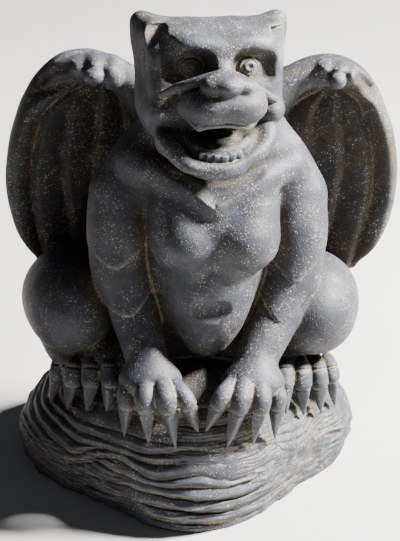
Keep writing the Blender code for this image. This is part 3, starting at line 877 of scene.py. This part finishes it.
def add_nose(block):
    """The snarl's fold over the bridge, and the nose below it."""
    h = HEAD
    block.add(ellipsoid((-2, -93.5, 16.5), (27, 20, 12.5), h), 6)
    block.add(ellipsoid((-3, -106.5, 13), (15, 13.5, 10), h), 8)
    for x in (-20.5, 17):
        block.add(ellipsoid((x, -100.5, 13), (11.2, 12.2, 9.2), h), 5)
    block.cut(ellipsoid((13, -115, 5), (5, 5.5, 2.8), h), 2)
    block.cut(ellipsoid((-17, -115, 5), (5.5, 5.5, 2.8), h), 2)
    fold = [(-64, -57, 1, 3.6), (-55.5, -68, 7, 5), (-47.8, -75.5, 11, 5.8), (-38.3, -82, 15, 6.2),
            (-28.2, -87, 19, 6.2), (-13.4, -90.5, 23.8, 6.2), (-2.6, -91.5, 25.5, 6.2), (10.8, -90.5, 22, 6),
            (25.7, -85.5, 14, 5.8), (41.8, -76.5, 4.5, 5), (63.5, -59, -7, 3.6)]
    block.add(limb(fold, 4, h), 1.2)
    below = ([(-29, -90.5, 9, 3), (-40, -85, 4.5, 3.6), (-52, -75, -2, 3.6), (-62, -64, -7, 2.6)],
             [(27, -88, 4, 2.8), (38, -82, -2.5, 3.4), (48, -74, -7.5, 3), (56, -68, -11, 1.6)])
    for groove in below:
        block.cut(limb(groove, 4, h), 2.5)


# Notches in the fronts of the ears, right and left: outer and inner ends of the facet's top, its foot, and
# the way the chisel came out
EAR_NOTCHES = (
    ((-83, -35, 78.5), (-62.5, -31, 74.5), (-77, -42, 51.5), (35, -15, 34)),
    ((80, -29, 74.5), (60, -39, 73.5), (69, -46, 40), (0, -50, 6)),
)


def ear_notch(top_out, top_in, foot, way_out):
    """A three-sided notch: a facet, a wall beside it and a roof."""
    ahead = lambda p: tuple(np.array(p) + way_out)
    middle = (np.array(top_out) + top_in + foot) / 3 + (0, -10, 0)
    planes = []
    for a, b, c in ((top_out, foot, top_in), (top_in, foot, ahead(foot)), (top_out, top_in, ahead(top_in))):
        outward = np.dot(middle - a, np.cross(np.array(b) - a, np.array(c) - a)) < 0
        planes.append((a, b, c) if outward else (a, c, b))
    low, high = np.minimum(np.minimum(top_out, top_in), foot), np.maximum(np.maximum(top_out, top_in), foot)
    return wedge(planes, low - (12, 40, 4), high + (20, 4, 20), HEAD)


def add_head(block):
    add_skull(block)
    add_eyes(block)
    add_mouth(block)
    add_muzzle(block)
    add_nose(block)
    for notch in EAR_NOTCHES:
        block.cut(ear_notch(*notch), 0.8)
    # The ear's lobe stands off the flat side of the face
    for side in SIDES:
        gap = [(78.5, -33, 52, 1), (79, -33, 38, 2.2), (78, -33, 22, 1.2)]
        block.cut(limb(mirrored(gap, side), 4, HEAD), 3)


# ---------------------------------------------------------------- the whole carving

def carve(coarse, fine):
    """The block of stone, carved."""
    block = Block((spaced(-0.250, 0.245, coarse, ((-0.098, 0.085, fine),)),
                   spaced(-0.225, 0.165, coarse, ((-0.220, -0.085, fine),)),
                   spaced(-0.010, 0.620, coarse, ((0.020, 0.190, fine), (0.385, 0.600, fine)))))
    uneven = Unevenness(7)
    add_trunk(block)
    add_wings(block)
    add_legs(block)
    add_arms(block)
    block.cut(navel(), 0.8)
    block.add(rock(rock_layers(uneven)), 2)
    add_head(block)
    block.raise_skin(lambda x, y, z: 0.00060 * uneven(x, y, z, 0.024),
                     np.array([-0.25, -0.23, 0.0]), np.array([0.25, 0.17, 0.62]))
    block.cut(box((0, 0, -20), (400, 400, 20), 0), 0)
    return block


def skin_mesh(points, faces):
    """A mesh of points and faces that all have as many corners."""
    mesh = bpy.data.meshes.new("gargoyle_skin")
    mesh.vertices.add(len(points))
    mesh.vertices.foreach_set("co", points.astype(np.float32).ravel())
    mesh.loops.add(faces.size)
    mesh.loops.foreach_set("vertex_index", faces.astype(np.int32).ravel())
    mesh.polygons.add(len(faces))
    mesh.polygons.foreach_set("loop_start", np.arange(0, faces.size, faces.shape[1], dtype=np.int32))
    mesh.update(calc_edges=True)
    return mesh


def largest_part(points, faces):
    """The points and faces of the largest connected part; crumbs and bubbles are left out."""
    part = np.arange(len(points))
    while True:
        lowest = part.copy()
        np.minimum.at(lowest, faces.ravel(), np.repeat(part[faces].min(1), faces.shape[1]))
        lowest = lowest[lowest]
        if np.array_equal(lowest, part):
            break
        part = lowest
    main = part[faces[:, 0]] == np.bincount(part[faces[:, 0]]).argmax()
    used, corners = np.unique(faces[main], return_inverse=True)
    return points[used], corners.reshape(-1, faces.shape[1])


def carved_mesh(block, most_triangles):
    """The skin as one closed mesh, thinned."""
    points, quads = block.skin()
    mesh = skin_mesh(*largest_part(points, quads))
    holder = bpy.data.objects.new("gargoyle_skin", mesh)
    bpy.context.scene.collection.objects.link(holder)
    thin = holder.modifiers.new("Thin", "DECIMATE")
    thin.ratio = min(most_triangles / (2 * len(mesh.polygons)), 1.0)
    thin.use_collapse_triangulate = True
    graph = bpy.context.evaluated_depsgraph_get()
    thinned = bpy.data.meshes.new_from_object(holder.evaluated_get(graph))
    corners = np.empty(len(thinned.loops), np.int32)
    thinned.loops.foreach_get("vertex_index", corners)
    whole = skin_mesh(*largest_part(mesh_points(thinned), corners.reshape(-1, 3)))
    bpy.data.objects.remove(holder)
    for spare in (mesh, thinned):
        bpy.data.meshes.remove(spare)
    return whole


def mesh_points(mesh):
    points = np.empty(len(mesh.vertices) * 3, np.float32)
    mesh.vertices.foreach_get("co", points)
    return points.reshape(-1, 3)


def store(mesh, name, values):
    mesh.attributes.new(name, "FLOAT", "POINT").data.foreach_set("value", values.astype(np.float32))


def note_exposure(block, mesh):
    """Stores on each point how hollow and worn it lies, and how far in shelter, which sets where shade is
    painted.
    """
    points = mesh_points(mesh)
    ways = [unit(way) for way in itertools.product((-1, 0, 1), repeat=3) if any(way)]

    def bulge(radius):
        """Mean distance of the surroundings by the radius: above 0 on edges, below 0 in hollows."""
        return sum(block.sample(points + way * radius) for way in ways) / (len(ways) * radius)

    nudges = np.eye(3) * 0.0025
    slope = np.stack([block.sample(points + nudge) - block.sample(points - nudge) for nudge in nudges], 1)
    normal = slope / np.maximum(np.linalg.norm(slope, axis=1, keepdims=True), 1e-6)
    near, wide = bulge(0.0022), bulge(0.0060)
    on_rock = rise(points[:, 2] - rock_top(points[:, 0], points[:, 1]), 0.006, -0.002)
    on_wing = rise(points[:, 1], 0.040, 0.055)
    calm = (1 - 0.30 * on_rock) * (1 - 0.50 * on_wing)
    front, height = -points[:, 1], points[:, 2]
    at_digits = rise(front, 0.03, 0.08) * rise(height, 0.10, 0.125) * rise(-height, -0.20, -0.185)
    store(mesh, "hollow", np.clip(-near * 5.5 * (1 + 0.8 * at_digits) - 0.10, 0, 1) * calm)
    store(mesh, "worn", np.clip(near * 3.0 + wide * 1.5, 0, 1) * (1 - 0.6 * on_wing))
    # How open each point lies along its normal; less open places get painted shade in the stone finish
    steps = (0.010, 0.020, 0.035)
    openness = sum(np.clip(block.sample(points + normal * step) / step, 0, 1) for step in steps) / len(steps)
    # The fronts of the wings count as in shelter too, so that shade is painted on them
    wing_front_shade = on_wing * rise(-normal[:, 1], 0.0, 0.6) * rise(points[:, 2], 0.20, 0.24)
    store(mesh, "shelter_and_shade", np.clip(1 - openness + 0.55 * wing_front_shade, 0, 1))


def fit(mesh):
    """Ease the mesh into the frame's box, with its underside on the ground."""
    points = mesh_points(mesh)
    low, high = points.min(0), points.max(0)
    inset = 0.0002
    want_low = np.array(CAD_LOW) + (inset, inset, 0.0)
    want_high = np.array(CAD_HIGH) - inset
    scale = (want_high - want_low) / (high - low)
    mesh.vertices.foreach_set("co", ((points - low) * scale + want_low).astype(np.float32).ravel())
    mesh.update()


# ---------------------------------------------------------------- finishes

class Wire:
    """A socket's output; Python's operators on it build Math nodes."""

    def __init__(self, finish, socket):
        self.finish, self.socket = finish, socket

    def math(self, operation, *values):
        return self.finish.node("ShaderNodeMath", {"operation": operation}, dict(enumerate(values)))

    def __add__(self, other):
        return self.math("ADD", self, other)

    def __sub__(self, other):
        return self.math("SUBTRACT", self, other)

    def __rsub__(self, other):
        return self.math("SUBTRACT", other, self)

    def __mul__(self, other):
        return self.math("MULTIPLY", self, other)

    def at_most(self, other):
        return self.math("MINIMUM", self, other)

    def at_least(self, other):
        return self.math("MAXIMUM", self, other)

    def ramp(self, start, end):
        """0 up to start, eased to 1 at end."""
        return self.finish.node("ShaderNodeMapRange", {"interpolation_type": "SMOOTHSTEP", "clamp": True},
                                {"Value": self, "From Min": start, "From Max": end})

    __radd__ = __add__
    __rmul__ = __mul__


class Finish:
    """A node material under construction."""

    def __init__(self, name):
        self.material = bpy.data.materials.new(name)
        self.material.use_nodes = True
        self.tree = self.material.node_tree
        self.shader = self.tree.nodes["Principled BSDF"]

    def connect(self, value, socket):
        if isinstance(value, Wire):
            self.tree.links.new(value.socket, socket)
        else:
            socket.default_value = value

    def node(self, kind, settings=None, values=None, out=0):
        """A node of a kind, its settings made first, its sockets filled; gives the output asked for."""
        node = self.tree.nodes.new(kind)
        for name, setting in (settings or {}).items():
            setattr(node, name, setting)
        for key, value in (values or {}).items():
            self.connect(value, node.inputs[key])
        return Wire(self, node.outputs[out])

    def noise(self, place, scale, detail=4.0, roughness=0.55):
        values = {"Vector": place, "Scale": scale, "Detail": detail, "Roughness": roughness}
        return self.node("ShaderNodeTexNoise", {"noise_dimensions": "3D"}, values, "Fac")

    def stored(self, name):
        return self.node("ShaderNodeAttribute", {"attribute_name": name}, {}, "Fac")

    def mix(self, factor, first, second):
        node = self.tree.nodes.new("ShaderNodeMix")
        node.data_type = "RGBA"
        for value, socket in ((factor, node.inputs[0]), (first, node.inputs[6]), (second, node.inputs[7])):
            self.connect(value, socket)
        return Wire(self, node.outputs[2])

    def set(self, **sockets):
        for name, value in sockets.items():
            self.connect(value, self.shader.inputs[name.replace("_", " ")])


def opaque(colour):
    return (*colour[:3], 1.0)


def spots(finish, place, scale, share, size):
    """Round spots in a share of the cells of a scattered pattern."""
    pattern = finish.tree.nodes.new("ShaderNodeTexVoronoi")
    pattern.voronoi_dimensions, pattern.feature = "3D", "F1"
    for key, value in {"Vector": place, "Scale": scale, "Randomness": 1.0}.items():
        finish.connect(value, pattern.inputs[key])
    distance = Wire(finish, pattern.outputs["Distance"])
    cell = Wire(finish, pattern.outputs["Color"])
    chance = finish.node("ShaderNodeSeparateColor", {}, {"Color": cell}, "Red")
    radius = finish.node("ShaderNodeSeparateColor", {}, {"Color": cell}, "Green")
    chosen = (share - chance).ramp(0.0, 0.02)
    return chosen * (radius * size + size * 0.5 - distance).ramp(0.0, size * 0.5)


def stone_finish(settings):
    """Dark volcanic stone: blotched grey, rubbed edges, tan dust in hollows, pale filled pores and painted
    shade.
    """
    finish = Finish("dark_volcanic_stone")
    place = finish.node("ShaderNodeTexCoord", {}, {}, "Object")
    hollow, shelter_and_shade, worn = (finish.stored(name) for name in ("hollow", "shelter_and_shade", "worn"))
    broad = finish.noise(place, 10.0, 5.0, 0.6)
    patch = finish.noise(place, 30.0, 5.0, 0.65)
    cluster = finish.noise(place, 55.0, 3.0, 0.6)
    grain = finish.noise(place, 300.0, 4.0, 0.7)
    grit = finish.noise(place, 1100.0, 2.0, 0.6)

    stone = finish.mix((broad * 0.7 + shelter_and_shade * 0.25).ramp(0.38, 0.58), opaque(settings.stone_blue),
                       opaque(settings.stone_brown))
    # Painted shade: a deep brown, darker than the stone, laid in shelter, in hollows, between parts and on
    # the wing fronts
    shadow = opaque([0.4 * part for part in settings.stone_brown])
    stone = finish.mix(shelter_and_shade.ramp(0.15, 0.85) * 0.68, stone, shadow)
    # Paler rubbed patches fade in shelter and on the wing fronts, which deepens the painted shade there
    rubbed = (patch - 0.5 + grain * 0.5).ramp(0.15, 0.50) * (0.60 - shelter_and_shade * 0.35).at_least(0.0)
    stone = finish.mix(rubbed, stone, opaque(settings.stone_rubbed))
    stone = finish.mix((worn * (0.3 + grain)).ramp(0.12, 0.80) * 0.65, stone, opaque(settings.stone_rubbed))

    film = (shelter_and_shade * 0.45 + cluster * 0.60 + grain * 0.45 + (broad - 0.5) * 0.9).ramp(0.70, 1.15) * 0.50
    crease = (hollow * 1.35 + (cluster - 0.5) * 1.7 + (grain - 0.5) * 0.9).ramp(0.42, 0.95)
    crease = crease * settings.dust_amount * hollow.ramp(0.05, 0.30)
    dust = finish.mix((grain * 0.7 + hollow * 0.4).ramp(0.35, 0.85), opaque(settings.dust_dark),
                      opaque(settings.dust_pale))
    coloured = finish.mix((film + crease).at_most(1.0), stone, dust)

    often = (cluster.ramp(0.38, 0.64) * 0.55 + 0.10 + shelter_and_shade * 0.12) * settings.pore_amount
    small = spots(finish, place, 560.0, often, 0.36)
    large = spots(finish, place, 300.0, often * 0.40, 0.26)
    pores = small.at_least(large)
    pits = spots(finish, place, 380.0, 0.40, 0.26) * (1.0 - pores)
    filling = finish.mix(patch.ramp(0.35, 0.60), opaque(settings.dust_dark), opaque(settings.pore_colour))
    coloured = finish.mix(pores * 0.90, coloured, filling)
    # Painted shade: the pits, small hollows in the bump, are darkened
    coloured = finish.mix(pits * 0.45, coloured, opaque([0.4 * part for part in settings.stone_blue]))

    height = grain * 0.42 + grit * 0.22 - pores * 0.40 - pits * 1.1 + patch * 1.3
    relief = {"Strength": 1.0, "Distance": 0.0012, "Height": height}
    bump = finish.node("ShaderNodeBump", {}, relief, "Normal")
    rough = (settings.stone_roughness + (grain - 0.5) * 0.30 + crease * 0.30 + pores * 0.20
             + shelter_and_shade * 0.35 - worn * 0.10)
    finish.set(Base_Color=coloured, Roughness=rough.at_most(1.0).at_least(0.25), Metallic=0.0, Normal=bump)
    finish.shader.inputs["Specular IOR Level"].default_value = 0.36
    return finish.material


def floor_finish(settings):
    """Pale, faintly mottled studio paper."""
    finish = Finish("pale_floor")
    place = finish.node("ShaderNodeTexCoord", {}, {}, "Object")
    shade = finish.noise(place, 3.0, 2.0).ramp(0.3, 0.7)
    pale = opaque(settings.floor_colour)
    finish.set(Base_Color=finish.mix(shade, pale, opaque([0.97 * part for part in pale[:3]])), Roughness=0.9)
    return finish.material


# ---------------------------------------------------------------- what a user can change

def colour(name, description, default):
    return bpy.props.FloatVectorProperty(
        name=name, description=description, default=default, subtype="COLOR", min=0, max=1)


def number(name, description, default, **limits):
    return bpy.props.FloatProperty(name=name, description=description, default=default, **limits)


class CarvingSettings(bpy.types.PropertyGroup):
    """How finely the stone is carved."""
    spacing: number("Spacing", "Spacing of the carving grid", 0.0020, min=0.001, unit="LENGTH")
    face_spacing: number("Fine spacing", "Spacing across face, hands and feet", 0.00125, min=0.001,
                         unit="LENGTH")
    most_triangles: bpy.props.IntProperty(
        name="Triangles", description="Triangles kept when the skin is thinned", default=194000, min=10000)


class StoneSettings(bpy.types.PropertyGroup):
    """Colours and surface of the stone."""
    stone_blue: colour("Blue grey", "Cooler tone of the stone", (0.0165, 0.0185, 0.0260))
    stone_brown: colour("Brown grey", "Warmer tone of the stone", (0.0290, 0.0235, 0.0170))
    stone_rubbed: colour("Rubbed stone", "Paler grey where the stone is rubbed", (0.068, 0.073, 0.088))
    dust_dark: colour("Dust, darker", "Earthy dust in the hollows", (0.075, 0.058, 0.038))
    dust_pale: colour("Dust, paler", "Dry pale dust in the hollows", (0.215, 0.175, 0.115))
    pore_colour: colour("Filled pores", "Pale filling of the stone's pores", (0.370, 0.310, 0.210))
    dust_amount: number("Dust", "How much dust lies in the hollows", 0.85, min=0, max=1, subtype="FACTOR")
    pore_amount: number("Pores", "How many pores are filled", 1.0, min=0, max=2)
    stone_roughness: number("Roughness", "Roughness of the stone", 0.58, min=0, max=1, subtype="FACTOR")


class StudioSettings(bpy.types.PropertyGroup):
    """Camera, lights and floor."""
    azimuth: number("Azimuth", "Camera's direction from the front, degrees", -4.0)
    elevation: number("Elevation", "Camera's height angle, degrees", 26.0)
    roll: number("Roll", "Camera's roll, degrees", 2.6)
    distance: number("Distance", "Camera's distance", 2.35, unit="LENGTH")
    lens: number("Lens", "Focal length in millimetres", 128.0)
    aim: bpy.props.FloatVectorProperty(
        name="Aim", description="Point the camera looks at", subtype="XYZ", unit="LENGTH",
        default=(-0.004, -0.02, 0.266))
    key_power: number("Key light", "Power of the main light, watts", 1330.0)
    fill_power: number("Fill light", "Power of the fill light, watts", 3.0)
    sky_strength: number("Surroundings", "Brightness of the surroundings", 0.072)
    floor_colour: colour("Floor", "Colour of the floor", (0.36, 0.36, 0.355))


# ---------------------------------------------------------------- operators

class GARGOYLE_OT_carve(bpy.types.Operator):
    """Carve the gargoyle from its block and finish the stone"""
    bl_idname = "gargoyle.carve"
    bl_label = "Carve gargoyle"

    def execute(self, context):
        carving, stone = context.scene.gargoyle_carving, context.scene.gargoyle_stone
        coarse = carving.spacing
        block = carve(coarse, carving.face_spacing)
        mesh = carved_mesh(block, carving.most_triangles)
        if not mesh.polygons:
            raise RuntimeError("the carving left no stone")
        note_exposure(block, mesh)
        fit(mesh)
        mesh.name = "gargoyle_stone"
        mesh.shade_smooth()
        mesh.materials.append(stone_finish(stone))
        piece = bpy.data.objects.new("gargoyle_stone", mesh)
        context.scene.collection.objects.link(piece)
        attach(piece, "root")
        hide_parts("gargoyle")
        return {"FINISHED"}


class GARGOYLE_OT_studio(bpy.types.Operator):
    """Lay the pale floor and set the lights and the camera"""
    bl_idname = "gargoyle.studio"
    bl_label = "Set up studio"

    def execute(self, context):
        scene, studio = context.scene, context.scene.gargoyle_studio
        lay_floor(scene, studio)
        set_lights(scene, studio)
        set_camera(scene, studio)
        return {"FINISHED"}


def lay_floor(scene, studio):
    half = 6.0
    corners = [(-half, -half, 0), (half, -half, 0), (half, half, 0), (-half, half, 0)]
    mesh = bpy.data.meshes.new("floor")
    mesh.from_pydata(corners, [], [(0, 1, 2, 3)])
    mesh.materials.append(floor_finish(studio))
    floor = bpy.data.objects.new("floor", mesh)
    scene.collection.objects.link(floor)


def area_light(scene, name, position, size, power, colour, target=(0.0, 0.0, 0.28)):
    light = bpy.data.lights.new(name, "AREA")
    light.shape = "DISK"
    light.size = size
    light.energy = power
    light.color = colour
    holder = bpy.data.objects.new(name, light)
    holder.location = position
    holder.rotation_euler = (Vector(target) - Vector(position)).to_track_quat("-Z", "Y").to_euler()
    scene.collection.objects.link(holder)


def from_angles(azimuth, elevation, distance):
    """A point by its direction from the front towards the beast's left, its height angle and its distance."""
    a, e = np.radians([azimuth, elevation])
    return Vector((np.sin(a) * np.cos(e), -np.cos(a) * np.cos(e), np.sin(e))) * distance


def set_lights(scene, studio):
    """A main light from the upper right of the front, a weak fill from the left, and pale surroundings."""
    area_light(scene, "key", from_angles(92, 45, 3.0), 0.60, studio.key_power, (1.0, 0.98, 0.95))
    area_light(scene, "fill", from_angles(-50, 25, 3.0), 1.6, studio.fill_power, (0.90, 0.94, 1.0))
    world = bpy.data.worlds.new("studio")
    world.use_nodes = True
    background = world.node_tree.nodes["Background"]
    background.inputs["Color"].default_value = (0.90, 0.93, 1.0, 1.0)
    background.inputs["Strength"].default_value = studio.sky_strength
    scene.world = world


def set_camera(scene, studio):
    camera = bpy.data.cameras.new("camera")
    camera.lens = studio.lens
    holder = bpy.data.objects.new("camera", camera)
    back = from_angles(studio.azimuth, studio.elevation, 1.0)
    holder.location = Vector(studio.aim) + back * studio.distance
    holder.rotation_mode = "QUATERNION"
    turn = Quaternion((0.0, 0.0, 1.0), np.radians(studio.roll))
    holder.rotation_quaternion = (-back).to_track_quat("-Z", "Y") @ turn
    scene.collection.objects.link(holder)
    scene.camera = holder


class GARGOYLE_PT_panel(bpy.types.Panel):
    """Settings and steps of the gargoyle"""
    bl_idname = "GARGOYLE_PT_panel"
    bl_label = "Stone gargoyle"
    bl_space_type = "VIEW_3D"
    bl_region_type = "UI"
    bl_category = "Gargoyle"

    def draw(self, context):
        scene = context.scene
        for heading, settings, step in (("Carving", scene.gargoyle_carving, None),
                                        ("Stone", scene.gargoyle_stone, GARGOYLE_OT_carve.bl_idname),
                                        ("Studio", scene.gargoyle_studio, GARGOYLE_OT_studio.bl_idname)):
            column = self.layout.column(align=True)
            column.label(text=heading)
            for name in settings.__annotations__:
                column.prop(settings, name)
            if step:
                column.operator(step)


SETTINGS = {"gargoyle_carving": CarvingSettings, "gargoyle_stone": StoneSettings,
            "gargoyle_studio": StudioSettings}
CLASSES = (*SETTINGS.values(), GARGOYLE_OT_carve, GARGOYLE_OT_studio, GARGOYLE_PT_panel)


def register():
    for cls in CLASSES:
        bpy.utils.register_class(cls)
    for name, cls in SETTINGS.items():
        setattr(bpy.types.Scene, name, bpy.props.PointerProperty(type=cls))


def unregister():
    for name in SETTINGS:
        delattr(bpy.types.Scene, name)
    for cls in reversed(CLASSES):
        bpy.utils.unregister_class(cls)


def main():
    register()
    bpy.ops.gargoyle.carve()
    bpy.ops.gargoyle.studio()
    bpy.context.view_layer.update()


if __name__ == "__main__":
    main()
